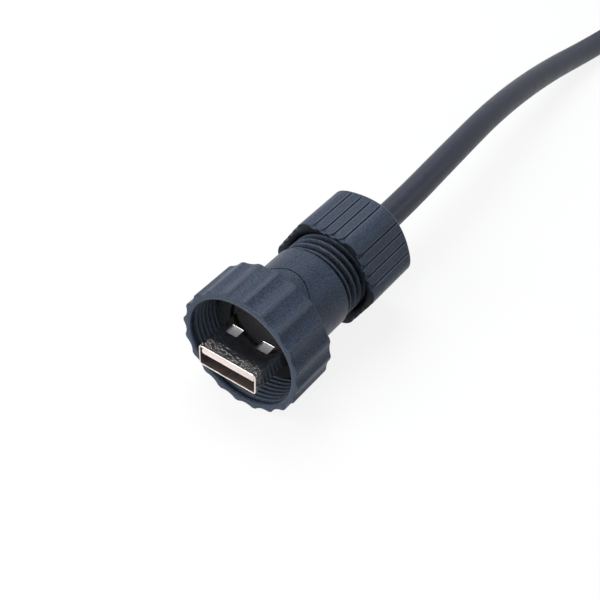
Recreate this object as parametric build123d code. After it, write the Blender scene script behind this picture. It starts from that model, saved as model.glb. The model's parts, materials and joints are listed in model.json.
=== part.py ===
from build123d import *
import math
import os

# Waterproof USB connector: a USB plug in a sealed round body, a coupling ring that
# screws onto the mating socket, a cable gland, and the cord with its other plug.
# Millimetres. Y is the connector's axis and runs from the plug's tip to the cord,
# X runs across the flat plug and Z is up. The origin is the centre of the ring's rim.

# Coupling ring
RING_LENGTH = 9.5
RING_DIAMETER = 24.6
RING_WALL = 1.45
RING_EDGE = 0.15
RING_REAR_EDGE = 0.35
RING_MOUTH = 0.25
FLUTES = 20
FLUTE_DEPTH = 0.52
FLUTE_REAR_DEPTH = 0.22
FLUTE_WIDTH = 3.2
FLUTE_TURN_DEG = 5.0
LIP_THICKNESS = 1.1

# Plug carrier: the flange and journal that the ring turns on, and its stub in the body
FLANGE_THICKNESS = 1.0
FLANGE_ROOM = 1.15
JOURNAL_STEP = 0.25
STUB_LENGTH = 7.5
STUB_WALL = 0.58
GASKET_THICKNESS = 0.9
GASKET_ROOM = 0.25
SEAL_CORD = 1.0
SEAL_SUNK = 0.25
SEAL_PLACE = 3.0

# Body
BODY_WALL = 0.8
BODY_PLAIN_LENGTH = 10.9
BODY_LENGTH = 21.4
BODY_EDGE = 0.3
THREAD_STEP = 0.3
THREAD_PITCH = 1.6
THREAD_HEIGHT = 0.85
THREAD_FOOT = 0.72
THREAD_CREST = 0.24
THREAD_SUNK = 0.1
THREAD_RELIEF = 0.12
FLOOR_PLACE = 9.4
FLOOR_THICKNESS = 4.5
FLOOR_HOLE = 9.0
SEAL_SEAT_DIAMETER = 11.9
SEAL_TAPER = 1.2
ROUNDEL_RADIUS = 7.0
ROUNDEL_REACH = 5.15
ROUNDEL_LINE = 0.26
ROUNDEL_DEPTH = 0.22

# Gland nut
NUT_LENGTH = 13.7
NUT_WALL = 1.49
NUT_CORNERS = 3.2
NUT_EDGE = 0.3
NUT_REAR_DROP = 0.75
NUT_REAR_SLOPE = 1.3
NUT_PLACE = 4.5
NUT_MOUTH = 1.0
NUT_EXIT_FLARE = 0.5
GROOVES_PER_FLAT = 4
GROOVE_PITCH_DEG = 12
GROOVE_WIDTH = 0.42
GROOVE_DEPTH = 0.32
GROOVE_END = 1.2
WASHER_THICKNESS = 1.2
WASHER_STEP = 0.8

# USB plug module
PLUG_WIDTH = 12.0
PLUG_HEIGHT = 4.5
PLUG_LENGTH = 18.75
PLUG_WALL = 0.3
PLUG_CORNER = 0.6
PLUG_REACH = 3.4
PLUG_DROP = 1.1
LATCH_WIDTH = 2.3
LATCH_LENGTH = 2.0
LATCH_SPACING = 6.5
LATCH_PLACE = 5.2
TONGUE_SIDE_ROOM = 0.15
TONGUE_THICKNESS = 1.5
TONGUE_CORNER = 0.3
TONGUE_SETBACK = 0.4
TONGUE_LIP_DROP = 0.2
TONGUE_LIP_LENGTH = 1.4
SOCKET_DEPTH = 9.4
CONTACT_WIDTH = 1.0
CONTACT_THICKNESS = 0.25
CONTACT_INSET = 2.05
CONTACT_MIDDLE = 1.0
CONTACT_SETBACKS = (1.2, 2.2, 2.2, 1.2)
CONTACT_TAIL = 1.6
CONTACT_SUNK = 0.1

# Cord
CORD_DIAMETER = 5.5
WIRE_DIAMETER = 1.0
WIRE_SPREAD = 0.95
WIRE_STRAIGHT = 0.9
WIRE_COLOURS = ("red", "white", "green", "black")
JACKET_PLACE = 1.85
FERRULE_LENGTH = 2.4
FERRULE_THICKNESS = 0.35

# Put-away length of the cord, folded into a hank, and its two ties
HANK_LENGTH = 107.0
HANK_WIDTH = 50.6
HANK_SLACK = 0.1
HANK_NEAR = 176.0
HANK_SHIFT = 9.0
TIE_WIDTH = 5.0
TIE_THICKNESS = 0.8
TIE_CORNER = 1.5
TIE_LAP = 7.6
TIE_LAP_END = 1.2

# Plug at the cord's other end
GRIP_SIDE_WALL = 1.8
GRIP_WALL = 1.25
GRIP_LENGTH = 18.0
GRIP_CORNER = 2.0
GRIP_EDGE = 1.0
RELIEF_LENGTH = 7.0
RELIEF_WALL = 1.2
RELIEF_END_WALL = 0.7
RELIEF_GROOVES = 3
RELIEF_GROOVE_WIDTH = 0.9
RELIEF_GROOVE_PITCH = 2.0
RELIEF_GROOVE_WALL = 0.45
THUMB_END_ROOM = 3.5
THUMB_SIDE_ROOM = 2.6
THUMB_DEPTH = 0.5
THUMB_CORNER = 2.0
CORD_GRIPPED = 4.5
FAR_SHELL_SHOWN = 11.75
FAR_PLUG_ASIDE = 5.5
FAR_PLUG_SHORT_OF_TURN = 7.8

# Clearances
RUNNING = 0.08
END_PLAY = 0.05
FIT = 0.05
SEATED = 0.02
THREAD_PLAY = 0.16
CORD_ROOM = 0.4

# Places along the axis, and radii, that follow from the sizes above
ring_radius = RING_DIAMETER / 2
ring_bore = ring_radius - RING_WALL
floor_z = -ring_radius
lip_front = RING_LENGTH - LIP_THICKNESS
flange_back = lip_front - END_PLAY
flange_front = flange_back - FLANGE_THICKNESS
flange_radius = ring_bore - FLANGE_ROOM
plug_corner_radius = math.hypot(PLUG_WIDTH / 2, PLUG_DROP + PLUG_HEIGHT / 2)
gasket_bore = plug_corner_radius + GASKET_ROOM
stub_radius = plug_corner_radius + STUB_WALL
journal_radius = stub_radius + JOURNAL_STEP
body_bore = stub_radius + FIT
body_radius = body_bore + BODY_WALL
thread_radius = body_radius - THREAD_STEP
thread_root = thread_radius - THREAD_HEIGHT
nut_bore = thread_radius + THREAD_PLAY
nut_apothem = nut_bore + NUT_WALL
body_front = RING_LENGTH + END_PLAY
body_shoulder = body_front + BODY_PLAIN_LENGTH
body_back = body_front + BODY_LENGTH
floor_front = body_front + FLOOR_PLACE
floor_back = floor_front + FLOOR_THICKNESS
jacket_start = floor_front + JACKET_PLACE
seal_front = body_front + SEAL_PLACE
seal_back = seal_front + SEAL_CORD
washer_front = body_back + SEATED
washer_back = washer_front + WASHER_THICKNESS
stub_back = body_front + STUB_LENGTH
nut_front = body_shoulder + NUT_PLACE
nut_back = nut_front + NUT_LENGTH
nut_step = washer_back + SEATED
cord_radius = CORD_DIAMETER / 2
plug_tip = -PLUG_REACH
plug_back = plug_tip + PLUG_LENGTH
tongue_width = PLUG_WIDTH - 2 * PLUG_WALL - 2 * TONGUE_SIDE_ROOM
outer_contact = tongue_width / 2 - CONTACT_INSET
contact_places = (-outer_contact, -CONTACT_MIDDLE, CONTACT_MIDDLE, outer_contact)
hank_band = 2 * CORD_DIAMETER + HANK_SLACK
hank_height = 2 * CORD_DIAMETER
hank_x = HANK_SHIFT + cord_radius - HANK_WIDTH / 2
hank_low = floor_z + TIE_THICKNESS
hank_near_turn = HANK_NEAR + HANK_WIDTH / 2
hank_middle = HANK_NEAR + HANK_LENGTH / 2
grip_width = PLUG_WIDTH + 2 * GRIP_SIDE_WALL
grip_height = CORD_DIAMETER + 2 * GRIP_WALL
far_plug_x = hank_x - FAR_PLUG_ASIDE
far_plug_z = floor_z + grip_height / 2
far_plug_tip = hank_near_turn - FAR_PLUG_SHORT_OF_TURN
far_grip_front = far_plug_tip + FAR_SHELL_SHOWN
far_grip_back = far_grip_front + GRIP_LENGTH
relief_back = far_grip_back + RELIEF_LENGTH

# The cord's route from the jacket's start inside the body to the hank. It leaves the
# gland straight, comes down to the floor that the ring rests on, and runs along it.
cord_low = floor_z + cord_radius
CORD_ROUTE = [
    (0, jacket_start, 0),
    (0, 47, 0),
    (-1.0, 70, 0.3),
    (-2.5, 94, -0.8),
    (-2.9, 120, -4.9),
    (-1.6, 146, cord_low),
    (1.8, 168, cord_low),
    (HANK_SHIFT, 188, cord_low),
    (HANK_SHIFT + 0.4, 205, hank_low + cord_radius),
]

# The cord's last stretch, from the inside of the hank to the plug that lies within it.
TAIL_ROUTE = [
    (-30.6, 262.2, hank_low + cord_radius),
    (-30.55, 253.8, hank_low + cord_radius),
    (-27.55, 246.7, hank_low + cord_radius),
    (-22.0, 241.2, far_plug_z),
    (far_plug_x, 234.1, far_plug_z),
    (far_plug_x, relief_back - CORD_GRIPPED, far_plug_z),
]


def disc(radius, start, end):
    """A solid cylinder about the connector's axis, between two places along it."""
    place = Plane(origin=(0, start, 0), x_dir=(1, 0, 0), z_dir=(0, 1, 0))
    return extrude(place * Circle(radius), end - start)


def sleeve(outer, inner, start, end):
    """A plain ring about the connector's axis."""
    return disc(outer, start, end) - disc(inner, start, end)


def turned(*points):
    """A solid turned about the connector's axis from a profile of (radius, place) points."""
    return revolve(make_face(Polyline(*points, close=True)), Axis.Y)


def bar(width, height, corner, start, end, x=0.0, z=0.0):
    """A bar along the axis with a rounded rectangular section."""
    place = Plane(origin=(x, start, z), x_dir=(1, 0, 0), z_dir=(0, 1, 0))
    section = RectangleRounded(width, height, corner) if corner else Rectangle(width, height)
    return extrude(place * section, end - start)


def block(x, y, z):
    """A plain block between two limits on each axis."""
    return Pos((x[0] + x[1]) / 2, (y[0] + y[1]) / 2, (z[0] + z[1]) / 2) * Box(
        x[1] - x[0], y[1] - y[0], z[1] - z[0]
    )


def corner_radii(points):
    """The radius of the arc at each inner point of a route: what its two runs leave room for."""
    route = [Vector(*p) for p in points]
    radii = []
    for before, here, after in zip(route, route[1:], route[2:]):
        turn = math.radians((here - before).get_angle(after - here))
        shorter = min((here - before).length, (after - here).length)
        radii.append(0.45 * shorter / math.tan(turn / 2))
    return radii


def tube(points, diameter):
    """A round cord along straight runs joined by tangent arcs."""
    path = FilletPolyline(*points, radius=corner_radii(points))
    start = Plane(origin=path @ 0, z_dir=path % 0)
    return sweep(start * Circle(diameter / 2), path)


def thread_ridge(root, height, pitch, start, end):
    """A right-hand helical ridge with a trapezoid section, its foot sunk into the wall."""
    foot = THREAD_FOOT * pitch / 2
    crest = THREAD_CREST * pitch / 2
    first = start + pitch / 2
    helix = Pos(0, first, 0) * Rot(-90, 0, 0) * Helix(pitch, end - start - pitch, root)
    across = (helix @ 0 - Vector(0, first, 0)).normalized()
    section = Plane(origin=helix @ 0, x_dir=across, z_dir=helix % 0)
    outline = Polyline(
        (-THREAD_SUNK, -foot), (height, -crest), (height, crest), (-THREAD_SUNK, foot), close=True
    )
    return sweep(section * make_face(outline), helix, is_frenet=True)


def coupling_ring():
    """The fluted nut that screws onto the mating socket, with the lip that holds it."""
    lip = journal_radius + RUNNING
    ring = turned(
        (ring_bore + RING_MOUTH, 0),
        (ring_radius - RING_EDGE, 0),
        (ring_radius, RING_EDGE),
        (ring_radius, RING_LENGTH - RING_REAR_EDGE),
        (ring_radius - RING_REAR_EDGE, RING_LENGTH),
        (lip, RING_LENGTH),
        (lip, lip_front),
        (ring_bore, lip_front),
        (ring_bore, RING_MOUTH),
    )
    cutter_radius = (FLUTE_WIDTH**2 / 4 + FLUTE_DEPTH**2) / (2 * FLUTE_DEPTH)
    cutter_place = ring_radius - FLUTE_DEPTH + cutter_radius
    lean = math.degrees(math.atan2(FLUTE_DEPTH - FLUTE_REAR_DEPTH, RING_LENGTH))
    cutter = disc(cutter_radius, -RING_LENGTH, 2 * RING_LENGTH)
    cutter = Pos(cutter_place, 0, 0) * Rot(0, 0, -lean) * cutter
    turns = [360 / FLUTES * flute - FLUTE_TURN_DEG for flute in range(FLUTES)]
    return ring - [Rot(0, turn, 0) * cutter for turn in turns]


def plug_carrier():
    """The moulded core: flange, journal for the ring, and the stub that fits in the body."""
    carrier = turned(
        (0, flange_front),
        (flange_radius, flange_front),
        (flange_radius, flange_back),
        (journal_radius, flange_back),
        (journal_radius, body_front),
        (stub_radius, body_front),
        (stub_radius, stub_back),
        (0, stub_back),
    )
    slot = bar(
        PLUG_WIDTH + 2 * SEATED,
        PLUG_HEIGHT + 2 * SEATED,
        PLUG_CORNER,
        flange_front - 1,
        stub_back + 1,
        z=-PLUG_DROP,
    )
    groove = sleeve(stub_radius + 1, stub_radius - SEAL_SUNK, seal_front, seal_back)
    return carrier - slot - groove


def carrier_seal():
    """The rubber ring between the carrier's stub and the body's bore."""
    return sleeve(body_bore, stub_radius - SEAL_SUNK, seal_front, seal_back)


def face_gasket():
    """The flat rubber washer on the flange that the mating socket presses on."""
    return sleeve(flange_radius, gasket_bore, flange_front - GASKET_THICKNESS, flange_front)


def connector_body():
    """The sleeve behind the ring: plain front, thread for the gland nut, bored through."""
    seat = SEAL_SEAT_DIAMETER / 2
    shell = turned(
        (body_bore, body_front),
        (body_radius - BODY_EDGE, body_front),
        (body_radius, body_front + BODY_EDGE),
        (body_radius, body_shoulder - BODY_EDGE),
        (body_radius - BODY_EDGE, body_shoulder),
        (thread_root, body_shoulder),
        (thread_root, body_back),
        (seat, body_back),
        (seat, floor_back),
        (FLOOR_HOLE / 2, floor_back),
        (FLOOR_HOLE / 2, floor_front),
        (body_bore, floor_front),
    )
    thread_start = body_shoulder + THREAD_RELIEF
    thread_end = body_back - THREAD_RELIEF
    shell += thread_ridge(thread_root, THREAD_HEIGHT, THREAD_PITCH, thread_start, thread_end)
    line = Circle(ROUNDEL_RADIUS) - Circle(ROUNDEL_RADIUS - ROUNDEL_LINE)
    roundel_y = body_front + ROUNDEL_REACH - ROUNDEL_RADIUS
    engraving = extrude(Pos(0, roundel_y, 0) * line, body_radius + 1)
    below = disc(
        body_radius - ROUNDEL_DEPTH, roundel_y - ROUNDEL_RADIUS, roundel_y + ROUNDEL_RADIUS
    )
    return shell - (engraving - below)


def gland_nut():
    """The soft-cornered hexagon nut with fine grip grooves on its flats."""
    start = Plane(origin=(0, nut_front, 0), x_dir=(1, 0, 0), z_dir=(0, 1, 0))
    hexagon = RegularPolygon(nut_apothem, 6, major_radius=False)
    hexagon = fillet(hexagon.vertices(), NUT_CORNERS)
    nut = extrude(start * hexagon, NUT_LENGTH)
    corner = (nut_apothem - NUT_CORNERS) / math.cos(math.radians(30)) + NUT_CORNERS
    rear = nut_apothem - NUT_REAR_DROP
    nut &= turned(
        (0, nut_front),
        (corner - NUT_EDGE, nut_front),
        (corner, nut_front + NUT_EDGE),
        (corner, nut_back - (corner - rear) / NUT_REAR_SLOPE),
        (rear, nut_back),
        (0, nut_back),
    )
    exit_radius = cord_radius + CORD_ROOM
    nut -= turned(
        (0, nut_front),
        (nut_bore + NUT_MOUTH, nut_front),
        (nut_bore, nut_front + NUT_MOUTH),
        (nut_bore, nut_step),
        (exit_radius, nut_step),
        (exit_radius, nut_back - NUT_EXIT_FLARE),
        (exit_radius + NUT_EXIT_FLARE, nut_back),
        (0, nut_back),
    )
    cutter = block(
        (-GROOVE_WIDTH / 2, GROOVE_WIDTH / 2),
        (nut_front - 1, nut_back - GROOVE_END),
        (nut_apothem - GROOVE_DEPTH, nut_apothem + 2),
    )
    for groove in range(GROOVES_PER_FLAT):
        turn = GROOVE_PITCH_DEG * (groove - (GROOVES_PER_FLAT - 1) / 2)
        lift = nut_apothem / math.cos(math.radians(turn)) - nut_apothem
        nut -= [Rot(0, 60 * side + turn, 0) * Pos(0, 0, lift) * cutter for side in range(6)]
    return nut


def slip_washer():
    """The washer between the gland nut and the rubber seal."""
    outer = thread_radius - WASHER_STEP
    return sleeve(outer, cord_radius + CORD_ROOM, washer_front, washer_back)


def gland_seal():
    """The rubber bush that grips the cord in the body's rear bore."""
    seat = SEAL_SEAT_DIAMETER / 2 - SEATED
    return turned(
        (cord_radius, floor_back),
        (seat - SEAL_TAPER, floor_back),
        (seat, floor_back + SEAL_TAPER),
        (seat, body_back),
        (cord_radius, body_back),
    )


def usb_shell(tip, x, z):
    """The folded steel tube of a USB plug with its two latch holes above and below."""
    back = tip + PLUG_LENGTH
    shell = bar(PLUG_WIDTH, PLUG_HEIGHT, PLUG_CORNER, tip, back, x, z)
    inner_width = PLUG_WIDTH - 2 * PLUG_WALL
    inner_height = PLUG_HEIGHT - 2 * PLUG_WALL
    shell -= bar(
        inner_width, inner_height, PLUG_CORNER - PLUG_WALL, tip - 1, back + 1, x, z
    )
    hole_middle = tip + LATCH_PLACE + LATCH_LENGTH / 2
    for side in (-1, 1):
        shell -= Pos(x + side * LATCH_SPACING / 2, hole_middle, z) * Box(
            LATCH_WIDTH, LATCH_LENGTH, 2 * PLUG_HEIGHT
        )
    return shell


def usb_tongue(tip, x, z):
    """The plastic tongue that carries the contacts, with the block that fills the shell."""
    top = z + PLUG_HEIGHT / 2 - PLUG_WALL - SEATED
    bottom = z - PLUG_HEIGHT / 2 + PLUG_WALL + SEATED
    front = tip + TONGUE_SETBACK
    socket_end = tip + SOCKET_DEPTH
    back = tip + PLUG_LENGTH
    lip_end = front + TONGUE_LIP_LENGTH
    lip_height = TONGUE_THICKNESS - TONGUE_LIP_DROP
    lip_middle = top - TONGUE_LIP_DROP - lip_height / 2
    middle = top - TONGUE_THICKNESS / 2
    tongue = bar(tongue_width, lip_height, TONGUE_CORNER, front, lip_end, x, lip_middle)
    tongue += bar(tongue_width, TONGUE_THICKNESS, TONGUE_CORNER, lip_end, socket_end, x, middle)
    tongue += bar(tongue_width, top - bottom, TONGUE_CORNER, socket_end, back, x, z)
    for number in range(len(contact_places)):
        tongue -= usb_contact(tip, x, z, number)
    return tongue


def contact_top(z):
    """The height of the tongue's lower face, where the contacts lie."""
    return z + PLUG_HEIGHT / 2 - PLUG_WALL - SEATED - TONGUE_THICKNESS


def usb_contact(tip, x, z, number, tail=0.0):
    """One contact: a flat spring strip under the tongue, with its solder tail behind."""
    middle = x + contact_places[number]
    top = contact_top(z) + CONTACT_SUNK
    return block(
        (middle - CONTACT_WIDTH / 2, middle + CONTACT_WIDTH / 2),
        (tip + TONGUE_SETBACK + CONTACT_SETBACKS[number], tip + PLUG_LENGTH + tail),
        (top - CONTACT_THICKNESS, top),
    )


def wire(number):
    """One insulated wire from a contact's solder tail to the cord's jacket."""
    across = WIRE_SPREAD * (1 if number > 1 else -1)
    up = WIRE_SPREAD * (1 if number in (0, 3) else -1)
    tail_end = plug_back + CONTACT_TAIL
    start_z = contact_top(-PLUG_DROP) + CONTACT_SUNK - CONTACT_THICKNESS / 2
    route = [
        (contact_places[number], tail_end, start_z),
        (contact_places[number], tail_end + WIRE_STRAIGHT, start_z),
        (across, jacket_start - WIRE_STRAIGHT, up),
        (across, jacket_start, up),
    ]
    return tube(route, WIRE_DIAMETER)


def crimp_ferrule():
    """The brass sleeve crimped over the screen at the jacket's end."""
    end = jacket_start + FERRULE_LENGTH
    return sleeve(cord_radius + FERRULE_THICKNESS, cord_radius, jacket_start, end)


def cord():
    """The cord from its jacket's start inside the body to where it joins the hank."""
    return tube(CORD_ROUTE, CORD_DIAMETER) - cord_hank()


def cord_hank():
    """The folded put-away length as one solid of its outer shape."""
    outer = SlotOverall(HANK_LENGTH, HANK_WIDTH)
    inner = SlotOverall(HANK_LENGTH - 2 * hank_band, HANK_WIDTH - 2 * hank_band)
    place = Pos(hank_x, hank_middle, hank_low) * Rot(0, 0, 90)
    return extrude(place * (outer - inner), hank_height)


def hank_tie(side):
    """A strap closed round one side of the hank, with its rounded end lapped over the top."""
    x = hank_x + side * (HANK_WIDTH - hank_band) / 2
    z = hank_low + hank_height / 2
    start = hank_middle - TIE_WIDTH / 2
    end = hank_middle + TIE_WIDTH / 2
    around = 2 * TIE_THICKNESS
    strap = bar(hank_band + around, hank_height + around, TIE_CORNER, start, end, x, z)
    strap -= bar(hank_band, hank_height, 0, start - 1, end + 1, x, z)
    lap = Pos(x, hank_middle, z + hank_height / 2 + TIE_THICKNESS)
    return strap + lap * extrude(RectangleRounded(TIE_LAP, TIE_WIDTH, TIE_LAP_END), TIE_THICKNESS)


def cord_tail():
    """The cord's last stretch, from the hank to the far plug."""
    return tube(TAIL_ROUTE, CORD_DIAMETER) - cord_hank()


def far_plug_grip():
    """The moulded grip of the plug at the cord's other end, with its strain relief."""
    grip = bar(
        grip_width, grip_height, GRIP_CORNER, far_grip_front, far_grip_back, far_plug_x, far_plug_z
    )
    grip = fillet(grip.edges().group_by(Axis.Y)[-1], GRIP_EDGE)
    thumb_y = (far_grip_front + far_grip_back) / 2
    thumb_width = grip_width - 2 * THUMB_SIDE_ROOM
    thumb_length = GRIP_LENGTH - 2 * THUMB_END_ROOM
    thumb = extrude(RectangleRounded(thumb_width, thumb_length, THUMB_CORNER), THUMB_DEPTH)
    for z in (far_plug_z - grip_height / 2, far_plug_z + grip_height / 2 - THUMB_DEPTH):
        grip -= Pos(far_plug_x, thumb_y, z) * thumb
    place = Plane(origin=(far_plug_x, far_grip_back, far_plug_z), x_dir=(1, 0, 0), z_dir=(0, 1, 0))
    foot = place * Circle(cord_radius + RELIEF_WALL)
    end = place.offset(RELIEF_LENGTH) * Circle(cord_radius + RELIEF_END_WALL)
    grip += loft([foot, end])
    about_cord = Pos(far_plug_x, 0, far_plug_z)
    wall = cord_radius + RELIEF_GROOVE_WALL
    for groove in range(RELIEF_GROOVES):
        start = far_grip_back + RELIEF_GROOVE_PITCH * (groove + 0.5)
        grip -= about_cord * sleeve(wall + 2, wall, start, start + RELIEF_GROOVE_WIDTH)
    grip -= about_cord * disc(cord_radius, relief_back - CORD_GRIPPED, relief_back + 1)
    pocket_end = far_plug_tip + PLUG_LENGTH
    pocket = bar(
        PLUG_WIDTH, PLUG_HEIGHT, PLUG_CORNER, far_grip_front - 1, pocket_end, far_plug_x, far_plug_z
    )
    return grip - pocket


def save(name, piece):
    export_step(piece, f"parts/{name}.step")


def save_plug(name, tip, x, z, tail):
    """The pieces that both plugs have: shell, tongue and four contacts."""
    save(f"{name}_shell", usb_shell(tip, x, z))
    save(f"{name}_tongue", usb_tongue(tip, x, z))
    for number in range(len(contact_places)):
        save(f"{name}_contact_{number + 1}", usb_contact(tip, x, z, number, tail))


def main():
    os.makedirs("parts", exist_ok=True)
    save("coupling_ring", coupling_ring())
    save("plug_carrier", plug_carrier())
    save("carrier_seal", carrier_seal())
    save("face_gasket", face_gasket())
    save("connector_body", connector_body())
    save("gland_nut", gland_nut())
    save("slip_washer", slip_washer())
    save("gland_seal", gland_seal())
    save_plug("usb", plug_tip, 0, -PLUG_DROP, CONTACT_TAIL)
    for number, colour in enumerate(WIRE_COLOURS):
        save(f"{colour}_wire", wire(number))
    save("crimp_ferrule", crimp_ferrule())
    save("cord", cord())
    save("cord_hank", cord_hank())
    save("hank_tie_left", hank_tie(-1))
    save("hank_tie_right", hank_tie(1))
    save("cord_tail", cord_tail())
    save("far_plug_grip", far_plug_grip())
    save_plug("far_plug", far_plug_tip, far_plug_x, far_plug_z, 0.0)
    print("cord radii", [round(r, 1) for r in corner_radii(CORD_ROUTE)])
    print("tail radii", [round(r, 1) for r in corner_radii(TAIL_ROUTE)])


main()
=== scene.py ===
import json
import math

import bpy
from mathutils import Matrix, Vector


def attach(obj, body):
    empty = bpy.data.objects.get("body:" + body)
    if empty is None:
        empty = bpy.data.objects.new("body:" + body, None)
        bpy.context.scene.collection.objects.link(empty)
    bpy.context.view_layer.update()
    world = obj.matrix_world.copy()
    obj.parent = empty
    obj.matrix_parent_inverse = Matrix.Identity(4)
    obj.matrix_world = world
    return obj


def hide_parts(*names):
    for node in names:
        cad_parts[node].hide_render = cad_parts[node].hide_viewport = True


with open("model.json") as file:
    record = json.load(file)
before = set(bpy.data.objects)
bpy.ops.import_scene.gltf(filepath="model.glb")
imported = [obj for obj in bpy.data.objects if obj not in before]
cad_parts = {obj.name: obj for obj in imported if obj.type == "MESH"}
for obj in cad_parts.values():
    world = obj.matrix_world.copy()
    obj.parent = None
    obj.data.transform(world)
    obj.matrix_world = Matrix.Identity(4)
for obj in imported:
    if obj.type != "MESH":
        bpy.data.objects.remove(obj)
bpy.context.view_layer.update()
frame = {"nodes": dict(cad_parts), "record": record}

# Sizes are in millimetres in the model's frame: Y runs along the connector from plug to cord,
# X across the flat plug, Z up, and the origin is the centre of the coupling ring's front rim.
MM = 0.001

# How much paler an edge is painted, up to 1, as a painted highlight, and the mark of a face that
# gets painted shade
PAINTED_LAND_HIGHLIGHT = 0.28
PAINTED_CREST_HIGHLIGHT = 0.4
PAINTED_REAR_EDGE_HIGHLIGHT = 0.5
PAINTED_GROOVE_EDGE_HIGHLIGHT = 0.9
PAINTED_SHADE = -1

# Turned pieces have this many columns, and rows that could meet are kept about this far apart
COLUMNS = 480
ROW_GAP = 0.02

# Edges that turn by more than this are shaded sharp
SHARP_DEG = 50
BODY_SHARP_DEG = 60
TONGUE_SHARP_DEG = 35

# Rounded outer edges have points at these turns
EDGE_TURNS_DEG = (0, 30, 60, 90)

# Coupling ring
RING_LENGTH = 9.5
RING_RADIUS = 12.3
RING_EDGE = 0.14
RING_REAR_ROUND = 0.35
FLUTES = 20
FLUTE_DEPTH = 0.52
FLUTE_WIDTH = 3.2
FLUTE_REAR_DEPTH = 0.32
FLUTE_VALLEY_DEG = 5.0
FLUTE_ROWS = (0.5, 2, 4, 6, 8, 9)
LAND_START = 0.88
RING_RIM_RADIUS = 11.4
RING_BACK_RADIUS = 9.5
RING_MOUTH_RADIUS = 10.75
RING_MOUTH_LENGTH = 0.54
RING_MOUTH_EDGE = 0.06
RING_STEP_RADIUS = 10.89
RING_STEP_START = 0.62
RING_STEP_END = 0.8
RING_RELIEF = (10.95, 0.86)
RING_CREST_RADIUS = 10.78
RING_ROOT_RADIUS = 11.2
RING_THREAD_PITCH = 0.97
RING_THREAD_START = 1.05
RING_THREAD_END = 8.2
RING_FIRST_CREST = 1.45
RING_THREAD_WIDTHS = (0.12, 0.72)
RING_THREAD_RUN_IN = 0.35
RING_THREAD_RUN_OUT = 0.8
RING_THREAD_ROWS = 96
RING_CREST_START = 0.5
LIP_FRONT = 8.4
LIP_RADIUS = 7.78
LIP_EDGE = 0.1

# Body
BODY_FRONT = 9.55
BODY_RADIUS = 8.3
BODY_SHOULDER = 20.45
BODY_BACK = 30.95
BODY_BORE = 7.5
BODY_EDGE = 0.2
BODY_ROWS = 7
THREAD_ROOT = 7.1
THREAD_CREST = 8.0
THREAD_PITCH = 1.6
THREAD_FIRST_CREST = 21.62
THREAD_WIDTHS = (0.24, 0.92)
THREAD_LAST_CREST = 30.2
THREAD_RUN = 0.5
THREAD_FILLET = 0.1
THREAD_EDGE = 0.3
THREAD_MARGIN = 0.15
THREAD_ROWS = 130
THREAD_CREST_START = 0.8
# Painted shade in the thread's roots fades out by this share of its height
THREAD_PAINTED_SHADE_END = 0.7
ROUNDEL_RADIUS = 7.0
ROUNDEL_CENTRE = (0.3, 7.7)
ROUNDEL_LINE = 0.26
ROUNDEL_DEPTH = 0.22
ROUNDEL_ROWS = (0, 1, 1, 1, 0)
SEAL_SEAT_RADIUS = 5.95
BODY_FLOOR_BACK = 23.45
BODY_FLOOR_FRONT = 18.95
BODY_FLOOR_HOLE = 4.5

# Gland nut
NUT_FRONT = 24.95
NUT_BACK = 38.65
NUT_APOTHEM = 9.65
NUT_CORNER_ROUND = 3.2
NUT_EDGE = 0.1
NUT_CONE_RADIUS = 8.9
NUT_CONE_SLOPE = 1.3
NUT_CONE_ROUND = 0.3
REAR_EDGE_BAND = (0.1, 0.3)
NUT_FRONT_ROWS = (0, 0.02, 0.05, 0.1, 0.3, 0.5, 0.65, 0.76, 0.9)
NUT_FLAT_FRONT = 1.8
NUT_FLAT_BACK = 2.6
NUT_FLAT_ROWS = 5
NUT_REAR_ROWS = (2.2, 1.9, 1.6, 1.4, 1.2, 1.05, 0.9, 0.75, 0.6, 0.48, 0.38, 0.3, 0.2, 0.1, 0)
NUT_BORE = 8.16
NUT_CREST = 7.4
NUT_MOUTH = 1.0
NUT_STEP = 32.19
NUT_THREAD_WIDTHS = (0.2, 1.1)
NUT_THREAD_RUN_IN = 0.8
NUT_THREAD_RUN_OUT = 0.7
NUT_THREAD_END = 0.3
NUT_THREAD_ROWS = 60
NUT_EXIT = 3.15
NUT_EXIT_FLARE = ((0.5, 0), (0.1, 0.3), (0, 0.6))
GROOVES_DEG = (-18, -6, 6, 18)
GROOVE_WIDTH = 0.42
GROOVE_DEPTH = 0.32
GROOVE_WALL = 0.1
GROOVE_RUN_OUT = (0.9, 1.6)
GROOVE_EDGE_PLACE = 0.231
GROOVE_EDGE_BAND = (0.02, 0.06)
GROOVE_COLUMNS_DEG = (0.5, 0.75, 1.0, 1.25, 1.5)
GROOVE_CLEAR_DEG = 1.7
NOTCH_LENGTH = 0.75
NOTCH_WIDTH = 1.3

# USB plugs: the folded sheet shell and the tongue in it
PLUG_WIDTH = 12.0
PLUG_HEIGHT = 4.5
PLUG_LENGTH = 18.75
PLUG_WALL = 0.3
PLUG_CORNER = 0.6
PLUG_CORNER_STEPS = 5
SHEET_EDGE = 0.09
SHEET_FRONT_ROWS = [0, 1, 2, 3, 4]
SHEET_BACK_ROWS = [9, 11, 14, PLUG_LENGTH]
PITTED_LENGTH = 3.5
SEAM = 0.06
LATCH_WIDTH = 2.3
LATCH_LENGTH = 2.0
LATCH_SPACING = 6.5
LATCH_PLACE = 5.2
TONGUE_HALF_WIDTH = 5.55
TONGUE_THICKNESS = 1.5
TONGUE_CORNER = 0.25
TONGUE_CORNER_STEPS = 3
TONGUE_LIP_DROP = 0.4
TONGUE_LIP_LENGTH = 1.4
TONGUE_CHAMFER = 0.2
TONGUE_SETBACK = 0.2
TONGUE_CHAMFER_LENGTH = 0.25
TONGUE_EDGE = 0.06
TONGUE_TAPER = (0.1, 0.03)
TONGUE_TIP_LENGTH = 0.5
TONGUE_BACK_GAP = 0.1
SOCKET_DEPTH = 9.4
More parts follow.
